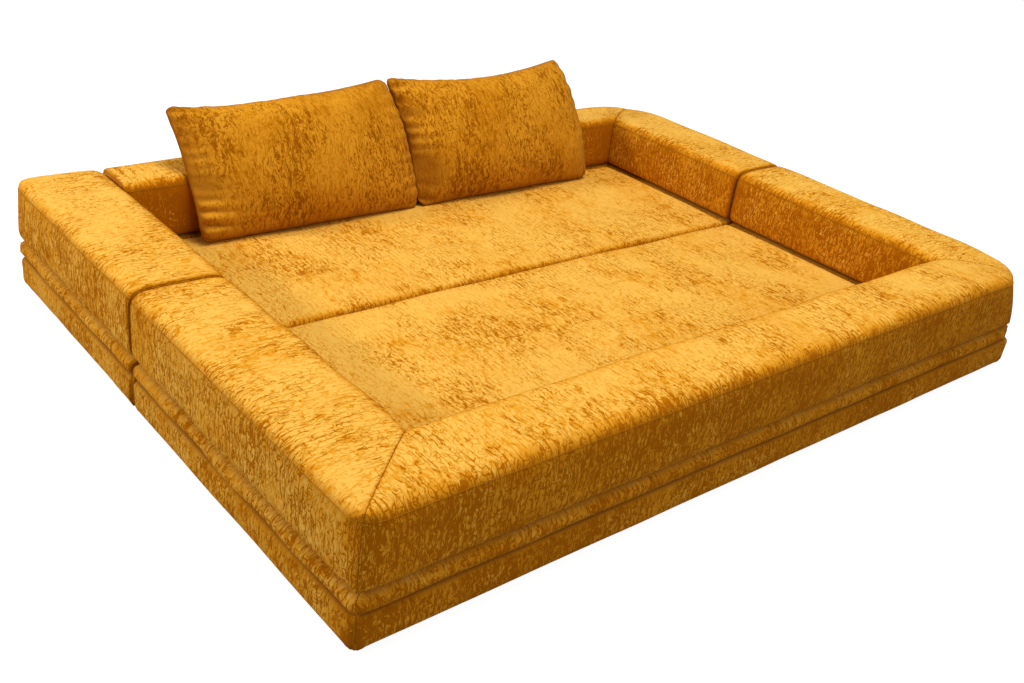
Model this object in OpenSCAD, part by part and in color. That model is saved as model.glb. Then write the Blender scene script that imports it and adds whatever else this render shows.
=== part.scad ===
// Low sofa bed in two upholstered halves that stand with their open sides together.
// X runs to the right along the lying surface, Y to the back, Z up; origin under the centre.
// Each half is drawn in its own plan: u along X, v from the joint face towards its closed side.

/* [Lying surface] */
// Length of the lying surface, between the inner faces of the arms
lying_length = 2000; // [1800:10:2200]
// Width of the front mattress, from the joint to the front rail
front_mattress_width = 795; // [650:5:900]
// Width of the rear mattress, from the joint to the back bolster
rear_mattress_width = 640; // [560:5:800]
// Thickness of each mattress at its crown
mattress_thickness = 58; // [50:1:80]
// How far each mattress top falls from its crown to its edges
mattress_crown = 6; // [2:1:12]
// Radius of the mattress edges
mattress_edge_r = 20; // [10:1:28]

/* [Bolsters] */
// Width of each arm
arm_width = 265; // [220:5:320]
// Width of the front rail
rail_width = 230; // [200:5:300]
// Width of the back bolster
back_width = 178; // [150:2:260]
// Height of the bolsters above the band
bolster_height = 193; // [150:1:240]
// Firmness of the stuffed section: a higher power is squarer
bolster_power = 7; // [5:0.5:10]
// Radius of the boxed bolster ends at the joint
joint_edge_r = 14; // [8:1:24]
// Radius of the upright outer corners of the bolsters and bands on the left
left_corner_r = 32; // [20:1:60]
// Radius of the upright outer corners of the bolsters and bands on the right
right_corner_r = 85; // [30:1:100]
// Radius at the far end of the straight rear arm
far_edge_r = 34; // [20:1:50]

/* [Base] */
// Height of the base tier above the floor
base_height = 100; // [90:1:130]
// Height of the rolled band under the bolsters
band_height = 52; // [40:1:70]
// Roundness of the band: a lower power is rounder
band_power = 4.5; // [3:0.5:8]
// Gap between the two halves when they stand together
half_gap = 8; // [4:1:20]
// Clearance of the base fabric above the floor
floor_gap = 2; // [1:0.5:4]
// Thickness of the padding and fabric round the base frame
base_pad = 20; // [14:1:26]
// Radius of the upright outer corners of the base
base_corner_r = 40; // [24:1:44]
// Radius of the lower edge of the base
base_low_r = 34; // [22:1:40]
// Radius of the upper edge of the base
base_top_r = 12; // [6:1:18]

/* [Frame] */
// Thickness of the outer frame rails
rail_t = 22; // [18:1:30]
// Thickness of the cross rails
cross_t = 40; // [30:1:50]
// Height of the glides under the frame
glide_h = 5; // [5:1:10]
// Radius of the glides
glide_r = 20; // [15:1:25]
// Thickness of the dust cover under the frame
dust_t = 1; // [1:0.5:2]
// Thickness of the slats and of the plywood rim on the frame
deck_t = 15; // [12:1:20]
// Width of one slat
slat_w = 70; // [50:2:90]
// Largest distance from one slat to the next
slat_pitch = 112; // [100:2:140]
// Thickness of the plywood board in the foot of each bolster
board_t = 15; // [12:1:20]
// How far each bolster board lies inside the bolster's faces
board_inset = 42; // [34:1:56]

/* [Fasteners] */
// Radius of the bolster bolts
bolt_r = 4; // [3:0.5:5]
// Distance of the end bolts from the end of each arm
bolt_end = 170; // [130:5:240]
// Radius of the frame screws
screw_r = 2.5; // [2:0.25:3]
// Length of the frame screws
screw_l = 60; // [45:1:80]
// Radius of the locating pins
pin_r = 8; // [6:0.5:10]
// Radial clearance of a locating pin in its socket
pin_clear = 0.5; // [0.3:0.1:1]

/* [Pillows] */
// Width of each pillow, corner to corner
pillow_w = 800; // [650:10:860]
// Height of each pillow, measured along its seam
pillow_h = 460; // [400:5:490]
// Height of the crown on the front face of each pillow
pillow_front_crown = 88; // [70:2:110]
// Height of the crown on the back face of each pillow
pillow_back_crown = 54; // [40:2:64]
// How far each pillow leans back as a whole, in degrees
pillow_lean = 31; // [24:1:33]
// How far each pillow bends back over the bolster from foot to top, in degrees
pillow_bend = 30; // [16:2:40]
// Gap between the two pillows
pillow_gap = 12; // [4:1:60]
// Clearance of the pillows' seams in front of the back bolster's top edge
pillow_clear = 1.5; // [1:0.5:10]

/* [Hidden] */

// Clearances: between soft pieces, in close-fitted timber, and the overrun of a cut
soft_gap = 0.4;
fit_gap = 0.3;
cut = 1;
// How much lower than its seat the stuffed outline would reach, which makes its foot flat
seat_sink = 1.6;
// Steps round a stuffed outline, round a quarter arc and across a crown
outline_steps = 48;
arc_steps = 8;
crown_steps = 10;

// Overall sizes of the two halves
total_width = lying_length + 2 * arm_width;
front_depth = front_mattress_width + rail_width;
rear_depth = rear_mattress_width + back_width;
total_depth = front_depth + half_gap + rear_depth;
front_joint_y = front_depth - total_depth / 2;
rear_joint_y = front_joint_y + half_gap;

// Levels
frame_z = glide_h + dust_t;
deck_z = base_height - deck_t;
bolster_z = base_height + band_height;
top_z = bolster_z + bolster_height;
mattress_top = base_height + mattress_thickness;

// Places of the frame members
half_lying = lying_length / 2;
half_width = total_width / 2;
cross_bearing = 10;
cross_places = [-half_lying - cross_bearing, -half_lying / 3, half_lying / 3, half_lying + cross_bearing];
arm_middle = half_lying + arm_width / 2;
locator_u = half_lying * 2 / 3;
locator_z = (frame_z + deck_z) / 2;

// Bolster bolts and their tee nuts
bolt_clear = 0.5;
bolt_head_r = 7.5;
bolt_head_h = 5.5;
band_hole_r = bolt_r * 2;
tee_wall = 1.5;
tee_barrel_r = bolt_r + tee_wall;
tee_barrel_h = 10;
tee_flange_r = 11;
tee_flange_t = 1.6;
tee_play = 0.05;
bolt_tip = 4;
tip_clear = 2;
tip_pocket_r = tee_flange_r + tip_clear;
tip_pocket_h = tee_flange_t + bolt_tip + tip_clear;

// Frame screws, glides and locating pins
screw_head_r = screw_r * 2;
screw_head_h = 3;
screw_play = 0.05;
screw_rise = 18;
nail_r = 1.5;
nail_l = 16;
nail_play = 0.05;
glide_inset = 32;
glide_chamfer = 2;
dust_inset = 2;
socket_wall = 3;
socket_flange = 2.5;
socket_flange_t = 2;
pin_flange = 6;
pin_flange_t = 3;
pin_tip = 6;
pad_hole_clear = 6;
pin_flange_r = pin_r + pin_flange;
pad_hole_r = pin_r + pad_hole_clear;

// Pillow form: grid, plumpness of the section and draw of the sides between the corners
pillow_cols = 26;
pillow_rows = 24;
plump = 0.45;
side_draw_share = 0.04;
top_draw_share = 0.1;
foot_draw_share = 0.01;

fabric_color = [0.80, 0.55, 0.16];
timber_color = [0.80, 0.66, 0.45];
steel_color = [0.72, 0.73, 0.75];
plastic_color = [0.12, 0.12, 0.13];
$fn = 48;

// Outlines

// Signed power of a cosine or a sine, which squares the circle
function squared(c, n) = (c < 0 ? -1 : 1) * pow(abs(c), 2 / n);

// Stuffed section of width w and height h, flat where it sits, drawn in at its edges
function stuffed(w, h, n) = [
    for (i = [0 : outline_steps - 1])
        let (a = 360 * i / outline_steps, lift = sin(a) < 0 ? h / 2 + seat_sink : h / 2)
        [w / 2 * squared(cos(a), n), max(0, h / 2 + lift * squared(sin(a), n))]
];

// Quarter arc about a centre, from angle a to a + 90
function quarter(x, y, r, a) = [
    for (i = [0 : arc_steps]) [x + r * cos(a + 90 * i / arc_steps), y + r * sin(a + 90 * i / arc_steps)]
];

// Rectangle from [x0, y0] to [x1, y1] with a radius for each corner
function rounded(x0, y0, x1, y1, r00, r10, r11, r01) = concat(
    quarter(x0 + r00, y0 + r00, r00, 180), quarter(x1 - r10, y0 + r10, r10, 270),
    quarter(x1 - r11, y1 - r11, r11, 0), quarter(x0 + r01, y1 - r01, r01, 90)
);

// Mattress section of width w and height h: flat below, crowned above, rounded edges of radius r
function crowned(w, h, r, crown, low_r) = concat(
    quarter(-w / 2 + low_r, low_r, low_r, 180), quarter(w / 2 - low_r, low_r, low_r, 270),
    quarter(w / 2 - r, h - crown - r, r, 0),
    [for (i = [1 : crown_steps - 1])
        let (t = 1 - 2 * i / crown_steps) [t * (w / 2 - r), h - crown * pow(abs(t), 3)]],
    quarter(-w / 2 + r, h - crown - r, r, 90)
);

// Extrusions along u and along v, and the places of the halves

module along_u(length) {
    rotate([90, 0, 90]) linear_extrude(length) children();
}

module along_v(length) {
    translate([0, length, 0]) rotate([90, 0, 0]) linear_extrude(length) children();
}

module rear_half() {
    translate([0, rear_joint_y, 0]) children();
}

module front_half() {
    translate([0, front_joint_y, 0]) mirror([0, 1, 0]) children();
}

// Plan of one half, with its two outer corners rounded
module half_plan(depth, height, left_r, right_r) {
    linear_extrude(height)
        polygon(rounded(-half_width, 0, half_width, depth, joint_edge_r, joint_edge_r, right_r, left_r));
}

// Stuffed pads: arms and long bolsters, and the band under them

// Arm or band strip on one side; a mitred one ends on the line between the corners
module side_pad(side, depth, mattress_w, height, power, z, mitred) {
    far_r = mitred ? joint_edge_r : far_edge_r;
    intersection() {
        translate([side * arm_middle, 0, z]) along_v(depth)
            polygon(stuffed(arm_width, height, power));
        translate([-half_width, 0, z]) along_u(total_width)
            polygon(rounded(0, 0, depth, height, joint_edge_r, far_r, far_r, joint_edge_r));
        half_plan(depth, top_z, left_corner_r, right_corner_r);
        if (mitred)
            linear_extrude(top_z) polygon([
                [side * half_lying, 0], [side * half_width, 0],
                [side * half_width, depth], [side * half_lying, mattress_w]
            ]);
    }
}

// Long bolster or band strip, mitred at its right end, and at its left end too unless it butts there
module long_pad(depth, mattress_w, height, power, z, butted) {
    width = depth - mattress_w;
    inner = half_lying - soft_gap;
    outer = half_width - soft_gap;
    left_outer = butted ? inner : outer;
    intersection() {
        translate([-half_width, mattress_w + width / 2, z]) along_u(total_width)
            polygon(stuffed(width, height, power));
        half_plan(depth, top_z + cut, left_corner_r, right_corner_r);
        linear_extrude(top_z + cut) polygon([
            [-inner, mattress_w - cut], [inner, mattress_w - cut], [inner, mattress_w], [outer, depth],
            [outer, depth + cut], [-left_outer, depth + cut], [-left_outer, depth], [-inner, mattress_w]
        ]);
    }
}

// Places of the bolts that hold the bolsters: two in each arm, three in the long bolster
function bolt_places(depth, mattress_w) = concat(
    [for (side = [-1, 1], v = [bolt_end, mattress_w - bolt_end / 2]) [side * arm_middle, v]],
    [for (u = [-1, 0, 1]) [u * locator_u, (depth + mattress_w) / 2]]
);

module at_bolts(depth, mattress_w) {
    for (p = bolt_places(depth, mattress_w)) translate([p[0], p[1], 0]) children();
}

// Plywood boards in the foot of the bolsters, grown by a clearance where a pocket is wanted
module arm_board_blank(side, mattress_w, grow) {
    inset = board_inset - grow;
    width = arm_width - 2 * inset;
    translate([side * arm_middle - width / 2, inset, bolster_z])
        cube([width, mattress_w - 2 * inset, board_t + grow]);
}

module long_board_blank(depth, mattress_w, grow) {
    inset = board_inset - grow;
    length = lying_length - 2 * inset;
    translate([-length / 2, mattress_w + inset, bolster_z])
        cube([length, depth - mattress_w - 2 * inset, board_t + grow]);
}

// Pockets that the boards, bolt tips and nuts need in the bolsters
module bolster_pockets(depth, mattress_w) {
    for (drop = [0, cut]) translate([0, 0, -drop]) {
        for (side = [-1, 1]) arm_board_blank(side, mattress_w, fit_gap);
        long_board_blank(depth, mattress_w, fit_gap);
    }
    at_bolts(depth, mattress_w) translate([0, 0, bolster_z])
        cylinder(h = board_t + tip_pocket_h, r = tip_pocket_r);
}

module arm_bolster(side, depth, mattress_w, mitred) {
    difference() {
        side_pad(side, depth, mattress_w, bolster_height, bolster_power, bolster_z, mitred);
        bolster_pockets(depth, mattress_w);
    }
}

module long_bolster(depth, mattress_w, butted) {
    difference() {
        long_pad(depth, mattress_w, bolster_height, bolster_power, bolster_z, butted);
        bolster_pockets(depth, mattress_w);
    }
}

module band_holes(depth, mattress_w) {
    at_bolts(depth, mattress_w) translate([0, 0, base_height - cut])
        cylinder(h = band_height + 2 * cut, r = band_hole_r);
}

module side_band(side, depth, mattress_w) {
    difference() {
        side_pad(side, depth, mattress_w, band_height, band_power, base_height, true);
        band_holes(depth, mattress_w);
    }
}

module long_band(depth, mattress_w) {
    difference() {
        long_pad(depth, mattress_w, band_height, band_power, base_height, false);
        band_holes(depth, mattress_w);
    }
}

// Mattress of one half, crowned both ways, with rounded edges
module mattress(mattress_w) {
    width = mattress_w - soft_gap;
    length = lying_length - 2 * soft_gap;
    translate([0, 0, base_height]) intersection() {
        translate([0, width / 2, 0]) translate([-length / 2, 0, 0]) along_u(length)
            polygon(crowned(width, mattress_thickness, mattress_edge_r, mattress_crown, joint_edge_r / 2));
        along_v(width)
            polygon(crowned(length, mattress_thickness, mattress_edge_r, mattress_crown, joint_edge_r / 2));
    }
}

// Base: padded cover, timber frame, deck and rim

module locator_axes(from, length, r) {
    for (side = [-1, 1]) translate([side * locator_u, from, locator_z])
        rotate([-90, 0, 0]) cylinder(h = length, r = r);
}

module base_cover(depth) {
    height = base_height - floor_gap;
    low = base_low_r;
    top = base_top_r;
    difference() {
        intersection() {
            translate([-half_width, 0, floor_gap]) along_u(total_width)
                polygon(rounded(0, 0, depth, height, low, low, top, top));
            translate([0, 0, floor_gap]) along_v(depth)
                polygon(rounded(-half_width, 0, half_width, height, low, low, top, top));
            half_plan(depth, base_height, base_corner_r, base_corner_r);
        }
        translate([-half_width + base_pad, base_pad, 0])
            cube([total_width - 2 * base_pad, depth - 2 * base_pad, base_height + cut]);
        locator_axes(-cut, base_pad + 2 * cut, pad_hole_r);
    }
}

// Nails of the glides: near both ends of each cross rail
glide_v = base_pad + rail_t + glide_inset;
function glide_places(depth) = [for (u = cross_places, v = [glide_v, depth - glide_v]) [u, v]];

module glide_nails(depth, r) {
    for (p = glide_places(depth)) translate([p[0], p[1], glide_h]) cylinder(h = nail_l, r = r);
}

// Frame screws: end rails into the long rails, long rails into the cross rails
module screw(play) {
    cylinder(h = screw_l, r = screw_r + play);
    cylinder(h = screw_head_h, r = screw_head_r + play);
}

module frame_screws(depth, play) {
    for (side = [-1, 1], v = [base_pad + rail_t / 2, depth - base_pad - rail_t / 2], rise = [-1, 1])
        translate([side * (half_width - base_pad), v, locator_z + rise * screw_rise])
            rotate([0, -side * 90, 0]) screw(play);
    for (u = cross_places, end = [0, 1])
        translate([u, end == 0 ? base_pad : depth - base_pad, locator_z])
            rotate([end == 0 ? -90 : 90, 0, 0]) screw(play);
}

module long_rail(depth, v) {
    inner = total_width - 2 * base_pad - 2 * rail_t;
    difference() {
        translate([-inner / 2, v, frame_z]) cube([inner, rail_t, deck_z - frame_z]);
        frame_screws(depth, screw_play);
        if (v == base_pad) locator_axes(v - cut, rail_t + 2 * cut, pin_r + pin_clear + socket_wall);
    }
}

module end_rail(side, depth) {
    difference() {
        translate([side * (half_width - base_pad - rail_t / 2) - rail_t / 2, base_pad, frame_z])
            cube([rail_t, depth - 2 * base_pad, deck_z - frame_z]);
        frame_screws(depth, screw_play);
    }
}

module cross_rails(depth) {
    start = base_pad + rail_t;
    difference() {
        for (u = cross_places) translate([u - cross_t / 2, start, frame_z])
            cube([cross_t, depth - 2 * start, deck_z - frame_z]);
        frame_screws(depth, screw_play);
        glide_nails(depth, nail_r + nail_play);
    }
}

// Plywood rim on the frame, which the bolsters are bolted down to
module rim_holes(depth, mattress_w) {
    at_bolts(depth, mattress_w) translate([0, 0, deck_z - cut])
        cylinder(h = deck_t + 2 * cut, r = bolt_r + bolt_clear);
}

module side_rim(side, depth, mattress_w) {
    width = half_width - base_pad - half_lying - cross_bearing;
    difference() {
        translate([side * (half_width - base_pad - width / 2) - width / 2, base_pad, deck_z])
            cube([width, depth - 2 * base_pad, deck_t]);
        rim_holes(depth, mattress_w);
    }
}

module long_rim(depth, mattress_w) {
    length = lying_length + 2 * cross_bearing - 2 * fit_gap;
    difference() {
        translate([-length / 2, mattress_w, deck_z]) cube([length, depth - base_pad - mattress_w, deck_t]);
        rim_holes(depth, mattress_w);
    }
}

module slats(mattress_w) {
    first = base_pad + fit_gap;
    last = mattress_w - slat_w - cross_bearing;
    count = ceil((last - first) / slat_pitch);
    for (i = [0 : count])
        translate([-half_lying, first + (last - first) * i / count, deck_z])
            cube([lying_length, slat_w, deck_t]);
}

// Hardware

module board_holes(depth, mattress_w) {
    at_bolts(depth, mattress_w) translate([0, 0, bolster_z - cut])
        cylinder(h = board_t + 2 * cut, r = tee_barrel_r + tee_play);
}

module arm_board(side, depth, mattress_w) {
    difference() {
        arm_board_blank(side, mattress_w, 0);
        board_holes(depth, mattress_w);
    }
}

module long_board(depth, mattress_w) {
    difference() {
        long_board_blank(depth, mattress_w, 0);
        board_holes(depth, mattress_w);
    }
}

module bolster_bolts(depth, mattress_w) {
    at_bolts(depth, mattress_w) translate([0, 0, deck_z - bolt_head_h]) {
        cylinder(h = bolt_head_h, r = bolt_head_r, $fn = 6);
        cylinder(h = bolt_head_h + deck_t + band_height + board_t + tee_flange_t + bolt_tip, r = bolt_r);
    }
}

module tee_nuts(depth, mattress_w) {
    at_bolts(depth, mattress_w) difference() {
        union() {
            translate([0, 0, bolster_z + board_t - tee_barrel_h])
                cylinder(h = tee_barrel_h, r = tee_barrel_r);
            translate([0, 0, bolster_z + board_t]) cylinder(h = tee_flange_t, r = tee_flange_r);
        }
        translate([0, 0, bolster_z]) cylinder(h = board_t + tee_flange_t + cut, r = bolt_r + tee_play);
    }
}

module glides(depth) {
    for (p = glide_places(depth)) translate([p[0], p[1], 0])
        rotate_extrude() polygon([
            [0, 0], [glide_r - glide_chamfer, 0], [glide_r, glide_chamfer], [glide_r, glide_h],
            [nail_r, glide_h], [nail_r, glide_h + nail_l], [0, glide_h + nail_l]
        ]);
}

module dust_cover(depth) {
    inset = base_pad + dust_inset;
    difference() {
        translate([-half_width + inset, inset, glide_h])
            cube([total_width - 2 * inset, depth - 2 * inset, dust_t]);
        glide_nails(depth, nail_r + nail_play);
    }
}

// Pins stand out of the front half's joint rail; v is negative towards the rear half
module locator_pins() {
    foot_r = pin_r + pin_clear + socket_wall;
    rail_face = pin_flange_t + rail_t;
    tip = rail_face + base_pad + half_gap + base_pad + rail_t;
    for (side = [-1, 1]) translate([side * locator_u, base_pad + rail_t + pin_flange_t, locator_z])
        rotate([90, 0, 0]) rotate_extrude() polygon([
            [0, 0], [pin_flange_r, 0], [pin_flange_r, pin_flange_t], [foot_r, pin_flange_t],
            [foot_r, rail_face], [pin_r, rail_face], [pin_r, tip - pin_tip], [pin_r / 2, tip], [0, tip]
        ]);
}

module locator_sockets() {
    bore = pin_r + pin_clear;
    barrel = bore + socket_wall;
    for (side = [-1, 1]) translate([side * locator_u, base_pad - socket_flange_t, locator_z])
        rotate([-90, 0, 0]) rotate_extrude() polygon([
            [bore, 0], [barrel + socket_flange, 0], [barrel + socket_flange, socket_flange_t],
            [barrel, socket_flange_t], [barrel, socket_flange_t + rail_t], [bore, socket_flange_t + rail_t]
        ]);
}

// Pillow: a knife-edged cushion with pointed corners, crowned on both faces and bent over the bolster

function spread(i, n) = sin(90 * (2 * i / n - 1));

// Bend of the seam: its radius, its lean at the foot and just above the level of the bolster's top
bend_r = pillow_h * 180 / (PI * pillow_bend);
first_lean = pillow_lean - pillow_bend / 2;
edge_lean = asin(sin(first_lean) + (top_z - mattress_top + mattress_crown) / bend_r);
edge_share = 2 * (edge_lean - pillow_lean) / pillow_bend;

// Lower edge of the pillows: its place along v, and its level on the crowned mattress
pillow_v = rear_mattress_width - soft_gap - pillow_clear - bend_r * (cos(first_lean) - cos(edge_lean));
foot_share = abs(2 * pillow_v - rear_mattress_width) / (rear_mattress_width - 2 * mattress_edge_r);
pillow_z = mattress_top + soft_gap - mattress_crown * pow(foot_share, 3);

// Height shares of the rows, from -1 to 1; the middle row lies at the bolster's top edge
function row_share(j) =
    let (t = 2 * j / pillow_rows)
    t <= 1 ? -1 + (1 + edge_share) * (1 - cos(90 * t)) : edge_share + (1 - edge_share) * sin(90 * (t - 1));

// Point of the pillow's face at grid place i, j; the back face lies flat where the bolster is
function pillow_point(i, j, front) =
    let (
        a = spread(i, pillow_cols),
        b = row_share(j),
        draw = 1 - (b < 0 ? foot_draw_share : top_draw_share) * b * b * (1 - a * a),
        lean = pillow_lean + pillow_bend / 2 * b * draw,
        v = pillow_v + bend_r * (cos(first_lean) - cos(lean)),
        z = pillow_z + bend_r * (sin(lean) - sin(first_lean)),
        free = pow(max(0, (1 - a * a) * (1 - b * b)), plump),
        room = z < top_z + 2 * soft_gap ? (rear_mattress_width - soft_gap - v) / cos(lean)
            : (z - top_z - soft_gap) / sin(lean),
        rise = front ? pillow_front_crown * free : -min(pillow_back_crown * free, room)
    )
    [
        pillow_w / 2 * a * (1 - side_draw_share * a * a * (1 - b * b)),
        v - rise * cos(lean),
        z + rise * sin(lean)
    ];

// Vertices of the front face, then those inside the edge of the back face
pillow_points = concat(
    [for (i = [0 : pillow_cols], j = [0 : pillow_rows]) pillow_point(i, j, true)],
    [for (i = [1 : pillow_cols - 1], j = [1 : pillow_rows - 1]) pillow_point(i, j, false)]
);

function front_id(i, j) = i * (pillow_rows + 1) + j;
function back_id(i, j) = i == 0 || j == 0 || i == pillow_cols || j == pillow_rows ? front_id(i, j)
    : (pillow_cols + 1) * (pillow_rows + 1) + (i - 1) * (pillow_rows - 1) + j - 1;

// Each cell is split towards the nearest corner, so no triangle lies on the seam with all its points
function split_cell(p, q, r, s, towards) = towards ? [[p, q, r], [p, r, s]] : [[p, q, s], [q, r, s]];

pillow_faces = [
    for (i = [0 : pillow_cols - 1], j = [0 : pillow_rows - 1])
        let (towards = (i < pillow_cols / 2) == (j < pillow_rows / 2))
        each concat(
            split_cell(
                front_id(i, j), front_id(i + 1, j), front_id(i + 1, j + 1), front_id(i, j + 1), towards
            ),
            split_cell(
                back_id(i, j), back_id(i, j + 1), back_id(i + 1, j + 1), back_id(i + 1, j), towards
            )
        )
];

module pillow(side) {
    translate([side * (pillow_w + pillow_gap) / 2, 0, 0])
        polyhedron(points = pillow_points, faces = pillow_faces);
}

// Rear half

module rear_base_cover() { color(fabric_color) rear_half() base_cover(rear_depth); }
module rear_joint_rail() { color(timber_color) rear_half() long_rail(rear_depth, base_pad); }
module rear_back_rail() {
    color(timber_color) rear_half() long_rail(rear_depth, rear_depth - base_pad - rail_t);
}
module rear_left_end_rail() { color(timber_color) rear_half() end_rail(-1, rear_depth); }
module rear_right_end_rail() { color(timber_color) rear_half() end_rail(1, rear_depth); }
module rear_cross_rails() { color(timber_color) rear_half() cross_rails(rear_depth); }
module rear_left_rim_board() {
    color(timber_color) rear_half() side_rim(-1, rear_depth, rear_mattress_width);
}
module rear_back_rim_board() {
    color(timber_color) rear_half() long_rim(rear_depth, rear_mattress_width);
}
module rear_right_rim_board() {
    color(timber_color) rear_half() side_rim(1, rear_depth, rear_mattress_width);
}
module rear_slats() { color(timber_color) rear_half() slats(rear_mattress_width); }
module rear_mattress() { color(fabric_color) rear_half() mattress(rear_mattress_width); }
module rear_left_band() {
    color(fabric_color) rear_half() side_band(-1, rear_depth, rear_mattress_width);
}
module rear_back_band() { color(fabric_color) rear_half() long_band(rear_depth, rear_mattress_width); }
module rear_right_band() {
    color(fabric_color) rear_half() side_band(1, rear_depth, rear_mattress_width);
}
module rear_left_arm() {
    color(fabric_color) rear_half() arm_bolster(-1, rear_depth, rear_mattress_width, false);
}
module rear_back_bolster() {
    color(fabric_color) rear_half() long_bolster(rear_depth, rear_mattress_width, true);
}
module rear_right_arm() {
    color(fabric_color) rear_half() arm_bolster(1, rear_depth, rear_mattress_width, true);
}
module rear_left_arm_board() {
    color(timber_color) rear_half() arm_board(-1, rear_depth, rear_mattress_width);
}
module rear_back_board() {
    color(timber_color) rear_half() long_board(rear_depth, rear_mattress_width);
}
module rear_right_arm_board() {
    color(timber_color) rear_half() arm_board(1, rear_depth, rear_mattress_width);
}
module rear_bolster_bolts() {
    color(steel_color) rear_half() bolster_bolts(rear_depth, rear_mattress_width);
}
module rear_tee_nuts() { color(steel_color) rear_half() tee_nuts(rear_depth, rear_mattress_width); }
module rear_frame_screws() { color(steel_color) rear_half() frame_screws(rear_depth, 0); }
module rear_glides() { color(plastic_color) rear_half() glides(rear_depth); }
module rear_dust_cover() { color(plastic_color) rear_half() dust_cover(rear_depth); }
module rear_locator_sockets() { color(plastic_color) rear_half() locator_sockets(); }

// Front half

module front_base_cover() { color(fabric_color) front_half() base_cover(front_depth); }
module front_joint_rail() { color(timber_color) front_half() long_rail(front_depth, base_pad); }
module front_outer_rail() {
    color(timber_color) front_half() long_rail(front_depth, front_depth - base_pad - rail_t);
}
module front_left_end_rail() { color(timber_color) front_half() end_rail(-1, front_depth); }
module front_right_end_rail() { color(timber_color) front_half() end_rail(1, front_depth); }
module front_cross_rails() { color(timber_color) front_half() cross_rails(front_depth); }
module front_left_rim_board() {
    color(timber_color) front_half() side_rim(-1, front_depth, front_mattress_width);
}
module front_rail_rim_board() {
    color(timber_color) front_half() long_rim(front_depth, front_mattress_width);
}
module front_right_rim_board() {
    color(timber_color) front_half() side_rim(1, front_depth, front_mattress_width);
}
module front_slats() { color(timber_color) front_half() slats(front_mattress_width); }
module front_mattress() { color(fabric_color) front_half() mattress(front_mattress_width); }
module front_left_band() {
    color(fabric_color) front_half() side_band(-1, front_depth, front_mattress_width);
}
module front_rail_band() {
    color(fabric_color) front_half() long_band(front_depth, front_mattress_width);
}
module front_right_band() {
    color(fabric_color) front_half() side_band(1, front_depth, front_mattress_width);
}
module front_left_arm() {
    color(fabric_color) front_half() arm_bolster(-1, front_depth, front_mattress_width, true);
}
module front_rail_bolster() {
    color(fabric_color) front_half() long_bolster(front_depth, front_mattress_width, false);
}
module front_right_arm() {
    color(fabric_color) front_half() arm_bolster(1, front_depth, front_mattress_width, true);
}
module front_left_arm_board() {
    color(timber_color) front_half() arm_board(-1, front_depth, front_mattress_width);
}
module front_rail_board() {
    color(timber_color) front_half() long_board(front_depth, front_mattress_width);
}
module front_right_arm_board() {
    color(timber_color) front_half() arm_board(1, front_depth, front_mattress_width);
}
module front_bolster_bolts() {
    color(steel_color) front_half() bolster_bolts(front_depth, front_mattress_width);
}
module front_tee_nuts() { color(steel_color) front_half() tee_nuts(front_depth, front_mattress_width); }
module front_frame_screws() { color(steel_color) front_half() frame_screws(front_depth, 0); }
module front_glides() { color(plastic_color) front_half() glides(front_depth); }
module front_dust_cover() { color(plastic_color) front_half() dust_cover(front_depth); }
module front_locator_pins() { color(steel_color) front_half() locator_pins(); }

// Loose pillows

module left_pillow() { color(fabric_color) rear_half() pillow(-1); }
module right_pillow() { color(fabric_color) rear_half() pillow(1); }

rear_base_cover();
rear_joint_rail();
rear_back_rail();
rear_left_end_rail();
rear_right_end_rail();
rear_cross_rails();
rear_left_rim_board();
rear_back_rim_board();
rear_right_rim_board();
rear_slats();
rear_mattress();
rear_left_band();
rear_back_band();
rear_right_band();
rear_left_arm();
rear_back_bolster();
rear_right_arm();
rear_left_arm_board();
rear_back_board();
rear_right_arm_board();
rear_bolster_bolts();
rear_tee_nuts();
rear_frame_screws();
rear_glides();
rear_dust_cover();
rear_locator_sockets();
front_base_cover();
front_joint_rail();
front_outer_rail();
front_left_end_rail();
front_right_end_rail();
front_cross_rails();
front_left_rim_board();
front_rail_rim_board();
front_right_rim_board();
front_slats();
front_mattress();
front_left_band();
front_rail_band();
front_right_band();
front_left_arm();
front_rail_bolster();
front_right_arm();
front_left_arm_board();
front_rail_board();
front_right_arm_board();
front_bolster_bolts();
front_tee_nuts();
front_frame_screws();
front_glides();
front_dust_cover();
front_locator_pins();
left_pillow();
right_pillow();
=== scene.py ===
import math

import bmesh
import bpy
import numpy as np
from mathutils import Matrix, Vector

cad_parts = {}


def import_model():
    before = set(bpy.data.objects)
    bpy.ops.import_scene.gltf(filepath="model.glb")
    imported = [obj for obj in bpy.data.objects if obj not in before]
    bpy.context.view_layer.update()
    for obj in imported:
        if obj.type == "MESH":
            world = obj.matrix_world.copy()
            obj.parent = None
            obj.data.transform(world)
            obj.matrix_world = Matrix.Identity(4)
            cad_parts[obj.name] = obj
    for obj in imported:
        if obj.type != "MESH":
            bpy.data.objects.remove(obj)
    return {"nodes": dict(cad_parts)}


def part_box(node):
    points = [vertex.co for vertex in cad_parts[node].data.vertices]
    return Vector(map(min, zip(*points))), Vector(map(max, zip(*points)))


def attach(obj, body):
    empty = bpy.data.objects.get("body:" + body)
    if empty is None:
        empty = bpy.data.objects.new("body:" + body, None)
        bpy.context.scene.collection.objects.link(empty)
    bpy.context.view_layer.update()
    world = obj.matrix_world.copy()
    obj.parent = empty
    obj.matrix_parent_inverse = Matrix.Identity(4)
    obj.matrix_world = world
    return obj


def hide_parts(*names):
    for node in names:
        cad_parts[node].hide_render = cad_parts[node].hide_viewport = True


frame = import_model()
scene = bpy.context.scene
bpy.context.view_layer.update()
print("frame loaded:", len(frame["nodes"]), "nodes")

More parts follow.
